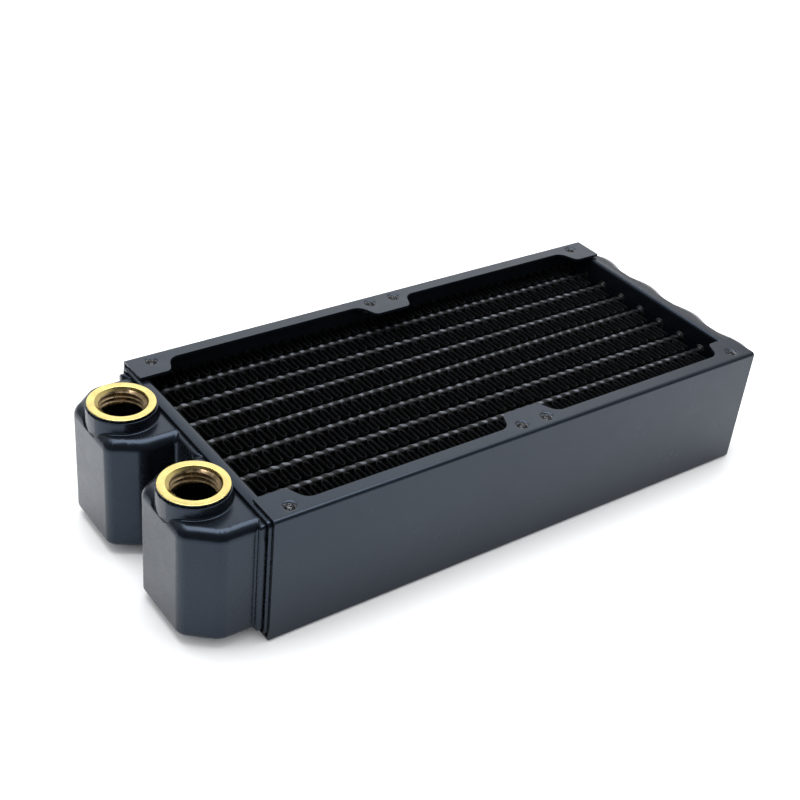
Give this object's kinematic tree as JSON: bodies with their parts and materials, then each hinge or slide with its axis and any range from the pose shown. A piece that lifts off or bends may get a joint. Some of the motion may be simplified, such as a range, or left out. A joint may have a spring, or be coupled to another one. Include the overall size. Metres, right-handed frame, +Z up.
{
  "type": "liquid cooling radiator",
  "caption": "Slim soldered radiator for liquid cooling: flat tubes and folded fins between header plates, a fluted return tank, and a port tank with twin chambers and threaded brass ports.",
  "frame": {"origin": "bottom centre of the whole part's bounding box, on the lower fan face", "axes": "+X from the ports towards the return tank, along the tubes; +Z up through the fins, out of the port openings"},
  "size_m": [0.1928, 0.0792, 0.0394],
  "materials": {
    "panel_paint": "satin black powder coat",
    "tank_paint": "satin black powder coat",
    "core_paint": "thin matt black paint",
    "brass": "machined"
  },
  "bodies": {
    "root": {"side_panel_near": "panel_paint", "side_panel_far": "panel_paint", "header_plate_ports": "tank_paint", "header_plate_return": "tank_paint", "tube_1": "core_paint", "tube_2": "core_paint", "tube_3": "core_paint", "tube_4": "core_paint", "tube_5": "core_paint", "tube_6": "core_paint", "tube_7": "core_paint", "tube_8": "core_paint", "fin_strip_1": "core_paint", "fin_strip_2": "core_paint", "fin_strip_3": "core_paint", "fin_strip_4": "core_paint", "fin_strip_5": "core_paint", "fin_strip_6": "core_paint", "fin_strip_7": "core_paint", "fin_strip_8": "core_paint", "fin_strip_9": "core_paint", "port_tank": "tank_paint", "flow_divider": "brass", "return_tank": "tank_paint", "port_bush_near": "brass", "port_bush_far": "brass"}
  },
  "joints": []
}
